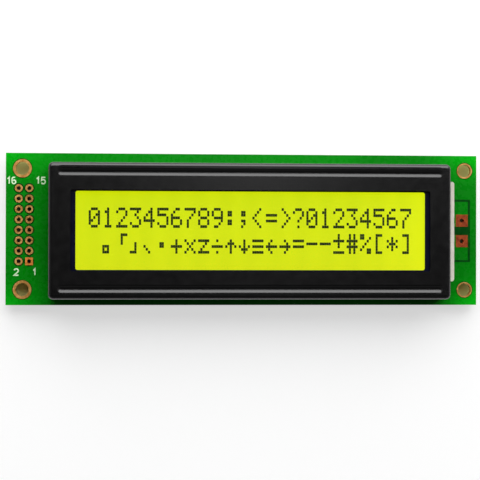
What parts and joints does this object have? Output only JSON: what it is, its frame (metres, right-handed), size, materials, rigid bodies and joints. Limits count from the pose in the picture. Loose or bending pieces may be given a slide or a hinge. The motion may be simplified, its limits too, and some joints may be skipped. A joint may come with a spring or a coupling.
{
  "type": "character lcd module",
  "caption": "Character liquid crystal display on a green circuit board, with a black pressed-steel bezel, a yellow-green LED backlight and plated holes for a pin header.",
  "frame": {"origin": "under the middle of the circuit board, on the plane of the tips of the bezel's twisted tabs, which the module rests on", "axes": "+X along the display to the right, +Y up the display, +Z out of the display's front"},
  "size_m": [0.116, 0.037, 0.0122],
  "materials": {
    "solder_mask": "glossy green solder mask on glass-fibre laminate",
    "gold_plating": "thin gold over copper",
    "tinned_lands": "dull copper under flux",
    "bezel_paint": "satin black on sheet steel",
    "mask_film": "black printed film",
    "front_film": "glossy clear polarizer",
    "cell_glass": "clear float glass",
    "cell_seal": "cured epoxy",
    "port_adhesive": "clear amber adhesive",
    "display_field": "liquid crystal, yellow-green",
    "rear_film": "lit transflective polarizer",
    "elastomer": "striped silicone",
    "white_housing": "white moulded plastic",
    "diffuser": "opal plastic",
    "led_board": "white laminate",
    "led_body": "clear epoxy",
    "tin": "bright tin and solder",
    "epoxy_cover": "black epoxy",
    "resistor_body": "dark glaze on ceramic",
    "capacitor_body": "fired ceramic"
  },
  "bodies": {
    "root": {"circuit_board": "solder_mask", "mounting_hole_rings": "gold_plating", "header_pads": "gold_plating", "supply_pads": "tinned_lands", "upper_contacts": "gold_plating", "lower_contacts": "gold_plating", "front_bezel": "bezel_paint", "window_mask": "mask_film", "front_polarizer": "front_film", "front_glass": "cell_glass", "cell_seal": "cell_seal", "fill_port_plug": "port_adhesive", "character_cells": "display_field", "rear_glass": "cell_glass", "rear_polarizer": "rear_film", "upper_elastomer_strip": "elastomer", "lower_elastomer_strip": "elastomer", "backlight_housing": "white_housing", "backlight_diffuser": "diffuser", "backlight_board": "led_board", "backlight_leds": "led_body", "backlight_pins": "tin", "pin_solder_joints": "tin", "controller_cover": "epoxy_cover", "segment_driver_cover": "epoxy_cover", "end_driver_cover": "epoxy_cover", "bias_resistors": "resistor_body", "oscillator_resistor": "resistor_body", "backlight_resistors": "resistor_body", "supply_capacitors": "capacitor_body", "chip_end_caps": "tin"}
  },
  "joints": []
}
